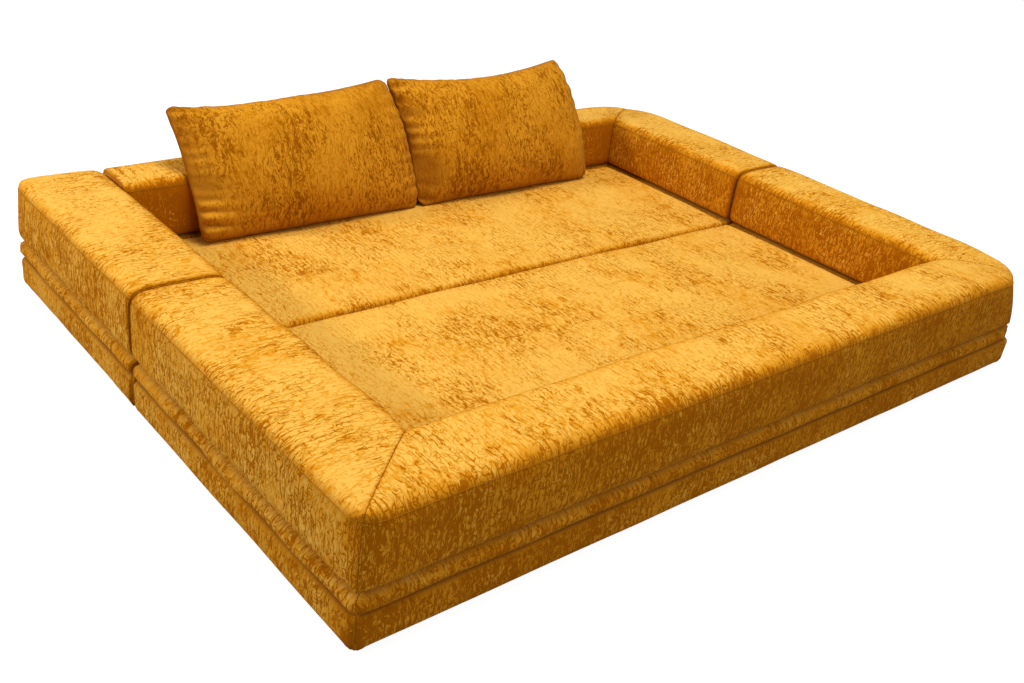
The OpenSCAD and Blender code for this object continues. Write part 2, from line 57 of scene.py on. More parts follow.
studio = {
    "cameraPlace": (-2.1936, -2.2515, 1.5944), "yaw": 43.056, "pitch": 27.839, "roll": 7.752, "lens": 39.18,
    "keyPlace": (0.4, -0.2, 5.6), "keySize": 2.4, "keyPower": 182.0,
    "sidePlace": (-4.3, 1.5, 2.3), "sideSize": 0.6, "sidePower": 80.0,
    "fillPlace": (-0.8, -4.8, 3.2), "fillSize": 2.2, "fillPower": 43.0,
    "skyLight": 0.28, "floorColor": 0.30, "floorBounce": 0.25, "floorGlow": 0.90, "floorHalf": 30,
}


def addObject(name, data):
    thing = bpy.data.objects.new(name, data)
    scene.collection.objects.link(thing)
    return thing


def aim(place, target):
    return (Vector(target) - Vector(place)).to_track_quat("-Z", "Y").to_euler()


def addCamera(s):
    yaw, pitch, roll = (math.radians(s[k]) for k in ("yaw", "pitch", "roll"))
    right = Vector((math.cos(yaw), -math.sin(yaw), 0))
    ahead = Vector((math.sin(yaw) * math.cos(pitch), math.cos(yaw) * math.cos(pitch), -math.sin(pitch)))
    above = right.cross(ahead)
    across = math.cos(roll) * right + math.sin(roll) * above
    upward = -math.sin(roll) * right + math.cos(roll) * above
    turn = Matrix((across, upward, -ahead)).transposed().to_4x4()
    data = bpy.data.cameras.new("camera")
    data.lens, data.sensor_width, data.clip_end = s["lens"], 36, 100
    scene.camera = addObject("camera", data)
    scene.camera.matrix_world = Matrix.Translation(s["cameraPlace"]) @ turn


def addLamp(name, place, size, power, target=(0, 0, 0.2)):
    data = bpy.data.lights.new(name, "AREA")
    data.shape, data.size, data.energy = "DISK", size, power
    lamp = addObject(name, data)
    lamp.location, lamp.rotation_euler = place, aim(place, target)


addCamera(studio)
for lamp in ("key", "side", "fill"):
    addLamp(lamp + "Lamp", *(studio[lamp + part] for part in ("Place", "Size", "Power")))
scene.view_settings.view_transform = "Standard"


def startMaterial(name):
    material = bpy.data.materials.new(name)
    material.use_nodes = True
    tree = material.node_tree
    tree.nodes.clear()
    output = tree.nodes.new("ShaderNodeOutputMaterial")
    shader = tree.nodes.new("ShaderNodeBsdfPrincipled")
    tree.links.new(shader.outputs[0], output.inputs[0])
    return material, tree, shader


def isSocket(value):
    return isinstance(value, bpy.types.NodeSocket)


def put(value, socket):
    if isSocket(value):
        socket.id_data.links.new(value, socket)
    else:
        socket.default_value = value


def putAll(node, given):
    # given maps the sockets' names, or numbers, to links and values
    for key, value in given.items():
        put(value, node.inputs[key])


def addNode(tree, kind, given, **settings):
    node = tree.nodes.new(kind)
    for key, value in settings.items():
        setattr(node, key, value)
    putAll(node, given)
    return node


def shaderNode(kind, given, **settings):
    # goes into the tree of its first link
    tree = next(value.id_data for value in given.values() if isSocket(value))
    return addNode(tree, "ShaderNode" + kind, given, **settings)


def maths(operation, *values, clamp=False):
    return shaderNode("Math", dict(enumerate(values)), operation=operation, use_clamp=clamp).outputs[0]


def times(a, b, clamp=False):
    return maths("MULTIPLY", a, b, clamp=clamp)


def plus(a, b, clamp=False):
    return maths("ADD", a, b, clamp=clamp)


def minus(a, b):
    return maths("SUBTRACT", a, b)


def stretched(vector, scale, shift=(0, 0, 0)):
    return shaderNode("Mapping", {"Vector": vector, "Scale": scale, "Location": shift}).outputs[0]


def noise(vector, scale, detail=2.0, rough=0.5, warp=0.0):
    return shaderNode("TexNoise", {
        "Vector": vector, "Scale": scale, "Detail": detail, "Roughness": rough, "Distortion": warp}).outputs[0]


def separated(vector):
    return shaderNode("SeparateXYZ", {0: vector}).outputs


def between(value, low, high, outLow=0.0, outHigh=1.0):
    given = dict(enumerate((value, low, high, outLow, outHigh)))
    return shaderNode("MapRange", given, interpolation_type="SMOOTHSTEP").outputs[0]


def mixColor(share, first, second):
    first, second = (color if isSocket(color) else (*color, 1) for color in (first, second))
    return shaderNode("Mix", {0: share, 6: first, 7: second}, data_type="RGBA").outputs[2]


def bump(height, strength, distance):
    return shaderNode("Bump", {"Strength": strength, "Distance": distance, "Height": height}).outputs[0]


def objectCoords(tree):
    return tree.nodes.new("ShaderNodeTexCoord").outputs["Object"]


# the pile's own colours run from dark to light; the seam colour is painted shade at seams, creases and where the
# tiers meet, and the upright and inward shares paint shade on upright faces and on faces that turn inwards
velvetLooks = {
    "gold_velvet": {"light": (0.97, 0.535, 0.088), "middle": (0.83, 0.325, 0.012), "dark": (0.49, 0.140, 0.001),
                    "seam": (0.32, 0.09, 0.001), "sheenTint": (1.0, 0.55, 0.10, 1),
                    "upright": (0.28, 0.60), "inwardShade": 0.30, "marks": 0.60},
    # the pillows' colours are deeper than the gold's: partly their own colour, partly painted shade
    "pillow_velvet": {"light": (0.80, 0.335, 0.018), "middle": (0.58, 0.200, 0.003), "dark": (0.36, 0.105, 0.001),
                      "seam": (0.24, 0.055, 0.001), "sheenTint": (1.0, 0.50, 0.08, 1),
                      "upright": (0, 0), "inwardShade": 0.20, "marks": 0.22},
}
velvetWeave = {
    # squiggles, crush marks and blots, in metres or in waves over a metre across and along the pile
    "bend": 0.014, "wobble": 0.0054, "grain": (56, 18), "contours": 5.5,
    "markGap": 0.0155, "markLength": 0.052, "markWidth": 0.0021,
    "blots": (62, 20), "blotStart": 0.565, "fine": (300, 26),
    # the share of each in the pile's relief and how dark the pile is at rest; seamShade is the painted shade at seams
    # and creases, and the bounced colour is painted shade on light that bounces off the pile
    "fineShare": 1.1, "squiggleShare": 0.64, "blotShare": 0.58, "crestShare": 0.26, "puckerShare": 0.6,
    "tone": 0.94, "broadShade": 0.16, "seamShade": 0.80, "sheen": 0.12, "bouncedShare": 0.45,
    "bouncedColor": (0.34, 0.25, 0.13), "bumpStrength": 0.7, "bumpDepth": 0.0022,
}


def velvet(name, look, weave):
    material, tree, shader = startMaterial(name)
    flat = addNode(tree, "ShaderNodeUVMap", {}, uv_map="weave").outputs[0]

    def grained(vector, scale, shift=(0, 0), detail=2, rough=0.5):
        return noise(stretched(vector, (*scale, 1), (*shift, 0)), 1, detail, rough)

    def shifted(vector, scale, amount, seed):
        # slides the pattern from side to side, more across the pile than along it
        x = minus(grained(flat, scale, (seed, 3), 1), 0.5)
        y = minus(grained(flat, scale, (3, seed), 1), 0.5)
        shift = shaderNode("CombineXYZ", {0: times(x, amount * 2), 1: times(y, amount * 1.6)})
        return shaderNode("VectorMath", {0: vector, 1: shift.outputs[0]}).outputs[0]

    lie = shifted(shifted(flat, (22, 17), weave["bend"], 11), (95, 70), weave["wobble"], 23)
    # squiggles: level lines of a stretched noise
    field = grained(lie, weave["grain"], rough=0.55)
    level = maths("PINGPONG", times(field, weave["contours"] * 2), 1.0)
    squiggle, crest = between(level, 0.0, 0.36, 1.0, 0.0), between(level, 0.72, 0.95)
    # crush marks: broken lines along the pile, joined by short cross lines
    bent = separated(shifted(shifted(flat, (9, 7), weave["bend"], 41), (60, 30), weave["wobble"], 29))
    turned = shaderNode("CombineXYZ", {0: bent[1], 1: bent[0]})
    brick = shaderNode("TexBrick", {
        "Vector": turned.outputs[0], "Scale": 1, "Mortar Size": weave["markWidth"], "Mortar Smooth": 0.8, "Bias": 0,
        "Brick Width": weave["markLength"], "Row Height": weave["markGap"]})
    mark = times(brick.outputs["Fac"], between(grained(flat, (45, 20), (9, 2)), 0.40, 0.56))
    # blots where the pile lies the other way
    broad = between(grained(flat, (4.5, 3.5), (7, 3)), 0.35, 0.65)
    start = minus(weave["blotStart"] + 0.05, times(broad, 0.10))
    blot = between(minus(grained(lie, weave["blots"], (5, 8), 4, 0.68), start), 0.0, 0.05)
    fold = addNode(tree, "ShaderNodeAttribute", {}, attribute_name="creaseShade").outputs["Fac"]
    # relief of the pile, stronger in crushed patches and calm at the seams
    relief = times(minus(grained(lie, weave["fine"], rough=0.6), 0.5), weave["fineShare"])
    for pattern, share in ((squiggle, -weave["squiggleShare"]), (mark, -look["marks"]), (blot, -weave["blotShare"]),
                           (crest, weave["crestShare"])):
        relief = plus(relief, times(pattern, share))
    crushed = between(grained(flat, (7, 4), (1, 9), 3), 0.38, 0.62, 0.55, 1.35)
    relief = times(relief, times(crushed, between(fold, 0, 1, 1.0, 0.3)))
    # painted shade: upright faces, and those that face inwards, are darker, with stronger relief
    facing = separated(tree.nodes.new("ShaderNodeNewGeometry").outputs["Normal"])
    spot = separated(objectCoords(tree))
    tone = minus(weave["tone"], times(broad, weave["broadShade"]))
    inwardShade = 0
    for k, share in enumerate(look["upright"]):
        tone = minus(tone, times(maths("ABSOLUTE", facing[k]), share))
        inwardShade = minus(inwardShade, times(facing[k], spot[k]))
    tone = minus(tone, times(between(inwardShade, 0.1, 0.8), look["inwardShade"]))
    side = minus(1.0, maths("ABSOLUTE", facing[2]))
    tone = plus(tone, times(relief, plus(0.70, times(side, 0.5))), clamp=True)
    color = mixColor(between(tone, 0.42, 0.95), look["middle"], look["light"])
    color = mixColor(between(tone, 0.0, 0.45), look["dark"], color)
    # painted shade: the pile turns to the seam colour at seams, creases and where the tiers meet
    color = mixColor(times(fold, weave["seamShade"], clamp=True), color, look["seam"])
    # painted shade on bounced light: where a ray bounces off the pile, the pile takes a dimmer, greyer colour, except
    # in the creases
    bounced = times(tree.nodes.new("ShaderNodeLightPath").outputs["Is Diffuse Ray"], weave["bouncedShare"])
    bounced = times(bounced, minus(1.0, fold), clamp=True)
    # fine puckers at the seams
    pucker = times(times(grained(flat, (95, 9), (5, 5)), fold), weave["puckerShare"])
    putAll(shader, {
        "Base Color": mixColor(bounced, color, weave["bouncedColor"]),
        "Roughness": between(tone, 0, 1, 0.95, 0.75), "Specular IOR Level": 0.03,
        "Sheen Weight": weave["sheen"], "Sheen Roughness": 0.45, "Sheen Tint": look["sheenTint"],
        "Normal": bump(plus(tone, pucker), weave["bumpStrength"], weave["bumpDepth"])})
    return material


goldVelvet = velvet("goldVelvet", velvetLooks["gold_velvet"], velvetWeave)
pillowVelvet = velvet("pillowVelvet", velvetLooks["pillow_velvet"], velvetWeave)


def seamThread(name, color):
    material, tree, shader = startMaterial(name)
    coords = objectCoords(tree)
    fuzz = noise(coords, 420, 2)
    twist = noise(coords, 90, 2)
    putAll(shader, {
        "Base Color": mixColor(between(twist, 0.35, 0.65), [c * 0.72 for c in color], color),
        "Roughness": 0.9, "Specular IOR Level": 0.05, "Normal": bump(fuzz, 0.5, 0.0006)})
    return material


# the cords are darker than the velvet: partly the thread's colour, partly painted shade along each seam
goldSeam = seamThread("goldSeam", (0.52, 0.19, 0.006))
pillowSeam = seamThread("pillowSeam", (0.40, 0.13, 0.004))
print("velvets made")


def corners(node):
    low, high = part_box(node)
    return np.array(low), np.array(high)


plan = {}
for half, sign in (("rear", 1), ("front", -1)):
    low, high = corners(f"{half}_base_cover")
    padLow, padHigh = corners(f"{half}_mattress")
    plan[half] = {
        "joint": low[1] if sign > 0 else high[1], "sign": sign, "depth": high[1] - low[1],
        "inner": padHigh[1] - low[1] if sign > 0 else high[1] - padLow[1],
        "halfLying": padHigh[0], "halfWidth": high[0],
    }
levels = {
    "baseLow": corners("rear_base_cover")[0][2], "base": corners("rear_base_cover")[1][2],
    "band": corners("rear_back_band")[1][2], "top": corners("rear_back_bolster")[1][2],
}
form = {
    "step": 0.0125, "clear": 0.0006, "unevenness": 0.0022, "valley": 0.0020,
    # corners in plan, and how the right-hand ones sink
    "leftRound": 0.032, "rightRound": 0.085, "jointRound": 0.014, "farRound": 0.034, "topEase": 1.45,
    "droop": 0.024, "droopReach": 0.13,
    # sections: a power of 2 gives an ellipse, a high one a box
    "bolsterPower": 5.8, "footPower": 7.0, "bandPower": 3.3, "seamDrop": 0.024, "footSink": 0.0016,
    "bolsterCrown": 0.0022, "bandCrown": 0.0012,
    # how much painted shade the pile gets at seams, mitres and ends, how far it reaches, and the same for the painted
    # shade where the tiers meet
    "seamCrease": 0.5, "mitreCrease": 0.25, "endCrease": 0.7, "creaseReach": 0.006,
    "tierShade": 2.0, "footReach": 0.0055, "topReach": 0.005,
}


def swell(x, y, z, seed, reach, waves=7):
    # smooth unevenness of size 1, from plane waves of random direction
    rng = np.random.default_rng(seed)
    total = 0
    for _ in range(waves):
        k = rng.normal(size=3)
        k *= rng.uniform(0.6, 1.5) * 2 * math.pi / reach / np.linalg.norm(k)
        total = total + np.sin(k[0] * x + k[1] * y + k[2] * z + rng.uniform(0, 2 * math.pi))
    return total / waves ** 0.5


def roundedCorner(u, v, side, rise):
    # the upright outer corner of a half, drawn in plan and eased further towards the top
    r = np.where(u < 0, form["leftRound"], form["rightRound"]) * (1 + form["topEase"] * np.clip(rise, 0, 1) ** 1.5)
    cu, cv = side["halfWidth"] - r, side["depth"] - r
    du, dv = np.abs(u) - cu, v - cv
    reach = np.hypot(du, dv)
    pull = np.where((du > 0) & (dv > 0) & (reach > r), r / np.maximum(reach, 1e-9), 1)
    return np.sign(u) * (np.minimum(np.abs(u), cu) + np.maximum(du, 0) * pull), \
        np.minimum(v, cv) + np.maximum(dv, 0) * pull


def stuffedOutline(width, height, power, footPower, seamDrop):
    # closed section from the middle of its foot, with a point on each top seam
    t = np.linspace(-math.pi / 2, 1.5 * math.pi, 4001)
    c, s = np.cos(t), np.sin(t)
    power = np.where(s < 0, footPower, power)
    w = width / 2 * np.sign(c) * np.abs(c) ** (2 / power)
    lift = height / 2 + np.where(s < 0, form["footSink"], 0)
    z = np.maximum(height / 2 + lift * np.sign(s) * np.abs(s) ** (2 / power), 0)
    arc = np.concatenate([[0], np.cumsum(np.hypot(np.diff(w), np.diff(z)))])
    marks = [0]
    if seamDrop:
        upper = (s > 0) & (z >= height - seamDrop)
        marks += [int(np.argmax(upper)), int(len(t) - 1 - np.argmax(upper[::-1]))]
    marks += [len(t) - 1]
    places, seams = [], []
    for a, b in zip(marks[:-1], marks[1:]):
        seams.append(len(places))
        n = max(2, round((arc[b] - arc[a]) / form["step"]))
        places += list(np.linspace(arc[a], arc[b], n, endpoint=False))
    places = np.array(places)
    return np.interp(places, arc, w), np.interp(places, arc, z), places, arc[-1], seams[1:]


def quarter(x, z, r, a, count=9):
    # a quarter circle round x, z, from the angle a on
    t = np.radians(np.linspace(a, a + 90, count))
    return np.stack([x + r * np.cos(t), z + r * np.sin(t)], 1)


def crownedOutline(width, height, radius, crown):
    # mattress section: flat below, crowned above
    low, shoulder = 0.007, height - crown - radius
    t = np.linspace(1, -1, 41)[1:-1]
    top = np.stack([t * (width / 2 - radius), height - crown * np.abs(t) ** 3], 1)
    line = np.concatenate([
        [[0, 0]], quarter(width / 2 - low, low, low, 270), quarter(width / 2 - radius, shoulder, radius, 0),
        top, quarter(-width / 2 + radius, shoulder, radius, 90), quarter(-width / 2 + low, low, low, 180), [[0, 0]]])
    arc = np.concatenate([[0], np.cumsum(np.hypot(*np.diff(line, axis=0).T))])
    places = np.linspace(0, arc[-1], round(arc[-1] / form["step"]), endpoint=False)
    return np.interp(places, arc, line[:, 0]), np.interp(places, arc, line[:, 1]), places, arc[-1], []


def outwardNormals(w, z):
    dw, dz = np.roll(w, -1) - np.roll(w, 1), np.roll(z, -1) - np.roll(z, 1)
    size = np.maximum(np.hypot(dw, dz), 1e-9)
    return dz / size, -dw / size


def endRings(kind, radius):
    # distance from the end and draw-in of each ring
    if kind == "mitre":
        v = form["valley"]
        return [(0.0, v), (0.0010, v * 0.62), (0.0034, v * 0.26), (0.0080, v * 0.06), (0.0130, 0.0)]
    r = form["farRound"] if kind == "far" else radius
    a = np.radians(np.linspace(0, 90, 7))
    return list(zip(r * (1 - np.cos(a)), r * (1 - np.sin(a))))


def edgeShade(z, height, isBand):
    # painted shade where the tiers meet: a bolster at its foot, a band at its foot and top
    foot = form["tierShade"] * np.exp(-np.maximum(z, 0) / form["footReach"])
    top = form["tierShade"] * np.exp(-np.maximum(height - z, 0) / form["topReach"]) if isBand else 0.0
    return np.minimum(np.maximum(foot, top), 1.0)


def padPiece(name, outline, startAt, endAt, kinds, toWorld, seed, crown=0.0, radius=None):
    # rings of the outline from end to end; startAt and endAt give each end's place across the section
    w, z, arc, girth, seams = outline
    nw, nz = outwardNormals(w, z)
    first, last = (endRings(kind, radius or form["jointRound"]) for kind in kinds)
    span = float(np.mean(endAt(w) - startAt(w)))
    middle = max(3, round((span - first[-1][0] - last[-1][0]) / form["step"]))
    rings = [(d, 0.0, 0.0, inset) for d, inset in first]
    rings += [(first[-1][0] * (1 - f), last[-1][0] * f, f, 0.0) for f in np.linspace(0, 1, middle + 1)[1:-1]]
    rings += [(0.0, d, 1.0, inset) for d, inset in last[::-1]]
    endCreases = [form["mitreCrease"] if kind == "mitre" else form["endCrease"] for kind in kinds]
    verts, creaseShades, along = [], [], []
    for lead, tail, f, inset in rings:
        rw, rz = w - nw * inset, z - nz * inset
        l = startAt(rw) * (1 - f) + endAt(rw) * f + lead - tail
        fromEnds = np.abs(l - startAt(w)), np.abs(endAt(w) - l)
        # painted shade: the pile darkens where the tiers meet, at the ends and mitres, and along the seams
        near = edgeShade(rz, z.max(), "_band" in name)
        for share, away in zip(endCreases, fromEnds):
            near = np.maximum(near, share * np.exp(-away / form["creaseReach"]))
        for s in seams:
            gap = np.abs(arc - arc[s])
            near = np.maximum(near, form["seamCrease"] * np.exp(-np.minimum(gap, girth - gap) / form["creaseReach"]))
        # stuffing: soft bulge between the seams, uneven from place to place
        free = (1 - np.exp(-np.minimum(*fromEnds) / 0.05)) * (1 - near ** 2) * np.clip(rz / 0.02, 0, 1)
        bulge = free * (form["unevenness"] * swell(l, arc, 0 * l, seed, 0.30) + crown)
        rw, rz = rw + nw * bulge, rz + nz * bulge
        verts.append(np.stack(toWorld(rw, np.maximum(rz, 0), l), 1))
        creaseShades.append(near)
        along.append(l)
    ends = ((startAt, rings[0][3], 0), (endAt, rings[-1][3], len(rings) - 1))
    return finishPad(name, verts, creaseShades, along, outline, ends, toWorld, seed), len(rings)


def finishPad(name, verts, creaseShades, along, outline, ends, toWorld, seed):
    w, z, arc, girth, _ = outline
    nw, nz = outwardNormals(w, z)
    count = len(w)
    points, creaseShade = list(np.concatenate(verts)), list(np.concatenate(creaseShades))
    faces, uvs = [], []
    pairs = [(j, (j + 1) % count) for j in range(count)]
    for i in range(len(verts) - 1):
        for j, k in pairs:
            faces.append((i * count + j, i * count + k, (i + 1) * count + k, (i + 1) * count + j))
            a, b = arc[j], arc[k] if k else girth
            uvs += [(along[i][j], a), (along[i][k], b), (along[i + 1][k], b), (along[i + 1][j], a)]

    def addFace(ids, places, turned):
        faces.append(ids[::-1] if turned else ids)
        uvs.extend((p[0] + 3, p[1]) for p in (places[::-1] if turned else places))
    # end panels: rings that close on their middle
    cw, cz = 0.0, float((z.max() + z.min()) / 2)
    for endPlace, inset, ring in ends:
        ew, ez = w - nw * inset, z - nz * inset
        outer, before = [ring * count + j for j in range(count)], np.stack([ew, ez], 1)
        for share in (0.94, 0.8, 0.62, 0.42, 0.22):
            sw, sz = cw + (ew - cw) * share, cz + (ez - cz) * share
            fresh = len(points)
            points += list(np.stack(toWorld(sw, sz, endPlace(sw)), 1))
            # painted shade: the end panel darkens towards its seam
            creaseShade += [math.exp(-(1 - share) * 6)] * count
            now = np.stack([sw, sz], 1)
            for j, k in pairs:
                addFace((outer[j], fresh + j, fresh + k, outer[k]), (before[j], now[j], now[k], before[k]), ring > 0)
            outer, before = [fresh + j for j in range(count)], now
        middle = len(points)
        center = toWorld(np.array([cw]), np.array([cz]), endPlace(np.array([cw])))
        points.append(np.array([float(np.ravel(c)[0]) for c in center]))
        creaseShade.append(0.0)
        for j, k in pairs:
            addFace((outer[j], middle, outer[k]), (before[j], (cw, cz), before[k]), ring > 0)
    shift = np.random.default_rng(seed + 50).uniform(0, 9, 2)
    return clothPiece(name, np.array(points), faces, np.array(uvs) + shift, creaseShade)


def signedVolume(points, faces):
    total = 0.0
    for f in faces:
        a = points[f[0]]
        for p, q in zip(f[1:-1], f[2:]):
            total += np.dot(a, np.cross(points[p], points[q]))
    return total / 6


def clothPiece(name, points, faces, uvs, creaseShade):
    if signedVolume(points, faces) < 0:
        starts = np.cumsum([0] + [len(f) for f in faces])
        uvs = np.concatenate([uvs[a:b][::-1] for a, b in zip(starts[:-1], starts[1:])])
        faces = [f[::-1] for f in faces]
    mesh = bpy.data.meshes.new(name)
    mesh.from_pydata([tuple(p) for p in points], [], faces)
    mesh.uv_layers.new(name="weave").data.foreach_set("uv", np.asarray(uvs, dtype=np.float32).ravel())
    mesh.attributes.new("creaseShade", "FLOAT", "POINT").data.foreach_set("value", np.asarray(creaseShade, dtype=np.float32))
    mesh.polygons.foreach_set("use_smooth", [True] * len(faces))
    mesh.update()
    return addObject(name, mesh)


pads = []       # piece, node, body, slot, fill
seamLines = []  # body, piece or None, vertex numbers or points, closed


def dressNode(piece, node, body, slot, material, fill):
    piece.data.materials.append(material)
    pads.append((piece, node, body, slot, fill))


def halfWorld(side, floorZ):
    # section and length to world, for the arms and for the long pad
    tall, full = levels["top"] - levels["band"], floorZ == levels["band"]

    def world(u, v, z):
        u, v = roundedCorner(u, v, side, z * full / tall)
        # the stuffing sinks at the soft right-hand corners
        away = ((side["halfWidth"] - u) ** 2 + (side["depth"] - v) ** 2) / form["droopReach"] ** 2
        droop = form["droop"] * np.exp(-away) * np.clip(z / tall, 0, 1) ** 1.5 * full
        return u, side["joint"] + side["sign"] * v, z + floorZ - droop

    def armLane(direction):
        middle = direction * (side["halfLying"] + side["halfWidth"]) / 2
        return lambda w, z, l: world(middle + direction * w, l, z)
    return armLane, lambda w, z, l: world(l, (side["inner"] + side["depth"]) / 2 + w, z)


def markSeams(body, piece, outline, total, kinds):
    # top seams along the pad and a seam round a boxed end
    z, seams = outline[1], outline[4]
    count = len(z)
    for seam in seams:
        seamLines.append((body, piece, [i * count + seam for i in range(1, total - 1)], False))
    shown = [j for j in range(count) if z[j] > 0.004]
    for ring, kind in ((3, kinds[0]), (total - 4, kinds[1])):
        if kind in ("boxed", "far"):
            seamLines.append((body, piece, [ring * count + j for j in shown], False))


def buildTier(half, tier, nodes):
    side, gap = plan[half], form["clear"]
    if tier == "bolster":
        low, high, drop, crown = levels["band"], levels["top"], form["seamDrop"], form["bolsterCrown"]
        powers = form["bolsterPower"], form["footPower"]
    else:
        low, high, drop, crown = levels["base"], levels["band"], 0, form["bandCrown"]
        powers = form["bandPower"], form["bandPower"]
    armLane, longLane = halfWorld(side, low)
    armWidth = side["halfWidth"] - side["halfLying"]
    longWidth = side["depth"] - side["inner"]
    armOutline = stuffedOutline(armWidth, high - low, *powers, drop)
    longOutline = stuffedOutline(longWidth, high - low, *powers, drop)
    mitre = lambda w: side["inner"] + (w + armWidth / 2) / armWidth * longWidth - gap
    reach = lambda w: side["halfLying"] + (w + longWidth / 2) / longWidth * armWidth - gap
    butted = half == "rear" and tier == "bolster"   # the rear left arm runs past the back bolster
    lanes = []
    for direction, node in ((-1, nodes[0]), (1, nodes[2])):
        straight = butted and direction < 0
        endAt = (lambda w: 0 * w + side["depth"]) if straight else mitre
        lanes.append((node, armOutline, lambda w: 0 * w, endAt, ("boxed", "far" if straight else "mitre"),
                      armLane(direction), 11))
    startAt = (lambda w: 0 * w - side["halfLying"] + gap) if butted else (lambda w: -reach(w))
    lanes.append((nodes[1], longOutline, startAt, reach, ("mitre", "mitre"), longLane, 31))
    seed = len(pads)
    for node, outline, startAt, endAt, kinds, world, n in lanes:
        piece, total = padPiece(node + "_pad", outline, startAt, endAt, kinds, world, seed + n, crown)
        markSeams(f"{half}_half", piece, outline, total, kinds)
        dressNode(piece, node, f"{half}_half", "gold_velvet", goldVelvet, 0.9)


for tier, (left, long, right) in (("band", ("left_band", "{}_band", "right_band")),
                                  ("bolster", ("left_arm", "{}_bolster", "right_arm"))):
    for half, place in (("rear", "back"), ("front", "rail")):
        buildTier(half, tier, [f"{half}_{n}" for n in (left, long.format(place), right)])
print("bands and bolsters made")


mattress = {"edgeRound": 0.015, "crown": 0.006}
for half in ("rear", "front"):
    side = plan[half]
    low, high = corners(f"{half}_mattress")
    width, thick = high[1] - low[1], high[2] - low[2]
    middle = (high[1] + low[1]) / 2
    outline = crownedOutline(width, thick, mattress["edgeRound"], mattress["crown"])

    def world(w, z, l):
        reach = (high[0] - low[0]) / 2 - mattress["edgeRound"]
        fall = mattress["crown"] * np.minimum(np.abs(l) / reach, 1) ** 3
        share = np.clip(z / thick, 0, 1)
        return l, middle + side["sign"] * w, low[2] + z - np.minimum(fall, thick) * share ** 2 * 0.8
    piece, _ = padPiece(f"{half}_mattress_pad", outline, lambda w: 0 * w + low[0], lambda w: 0 * w + high[0],
                        ("boxed", "boxed"), world, 3 + (half == "front"), radius=mattress["edgeRound"])
    dressNode(piece, f"{half}_mattress", f"{half}_half", "gold_velvet", goldVelvet, 0.8)
print("mattresses made")


base = {
    "pad": 0.020, "lowRound": 0.034, "topRound": 0.012, "leftRound": 0.040, "rightRound": 0.046, "cornerFill": 0.55,
    "tall": 0.098, "crown": 0.0012, "seamValley": 0.0026, "seamReach": 0.008, "topReach": 0.006,
    "holeRadius": 0.014, "holePlace": 2 / 3, "holeHeight": (-0.015, 0.006),
    "flatRow": 8, "footRow": 11, "insideRows": 6,   # rows of the profile
}


def baseProfile(b, low, high):
    # draw-in and height, from the inner top edge over the outside to the inner lower edge
    top = quarter(b["topRound"], high - b["topRound"], b["topRound"], 90, 6)
    flat = np.stack([np.zeros(5), np.linspace(high - b["topRound"], low + b["lowRound"], 7)[1:-1]], 1)
    foot = quarter(b["lowRound"], low + b["lowRound"], b["lowRound"], 180)
    foot = foot[foot[:, 0] <= b["pad"]]
    rise = low + b["lowRound"] - math.sqrt(b["lowRound"] ** 2 - (b["lowRound"] - b["pad"]) ** 2)
    inside = np.stack([np.full(b["insideRows"], b["pad"]), np.linspace(rise, high, b["insideRows"])], 1)
    return np.concatenate([[[(b["pad"] + b["topRound"]) / 2, high]], top, flat, foot, inside])


def basePlan(side, b):
    # stations round the half: place, the corner's signs and radius or None, and the outward direction
    w, d = side["halfWidth"], side["depth"]
    rounds = [form["jointRound"], form["jointRound"], b["rightRound"], b["leftRound"]]
    places = [(-w, 0, -1, -1), (w, 0, 1, -1), (w, d, 1, 1), (-w, d, -1, 1)]
    stations = []
    for n, ((x, y, sx, sy), r) in enumerate(zip(places, rounds)):
        start = 180 + 90 * n
        for a in np.linspace(start, start + 90, 7):
            stations.append((x, y, sx, sy, r, math.cos(math.radians(a)), math.sin(math.radians(a))))
        (nx, ny), nr = places[(n + 1) % 4][:2], rounds[(n + 1) % 4]
        run = abs(nx - x) + abs(ny - y) - r - nr
        steps = round(run / form["step"])
        a = math.radians(start + 90)
        for f in np.linspace(0, 1, steps + 1)[1:-1]:
            px = x + (nx - x) * (r + run * f) / (run + r + nr)
            py = y + (ny - y) * (r + run * f) / (run + r + nr)
            stations.append((px, py, 0, 0, None, math.cos(a), math.sin(a)))
    return stations


def baseRow(station, profile, b):
    # the profile's points in plan at one station, drawn in towards the corner's centre
    x, y, sx, sy, r, c, s = station
    row = []
    for j, (d, _) in enumerate(profile):
        if r is None:
            row.append((x - c * d, y - s * d))
            continue
        if b["footRow"] <= j < len(profile) - b["insideRows"]:
            # the foot is fuller at the corners, so the frame inside stays covered
            d *= 1 - b["cornerFill"] * abs(2 * c * s)
        m = max(r, d)
        row.append((x - sx * m + c * max(r - d, 0), y - sy * m + s * max(r - d, 0)))
    return row


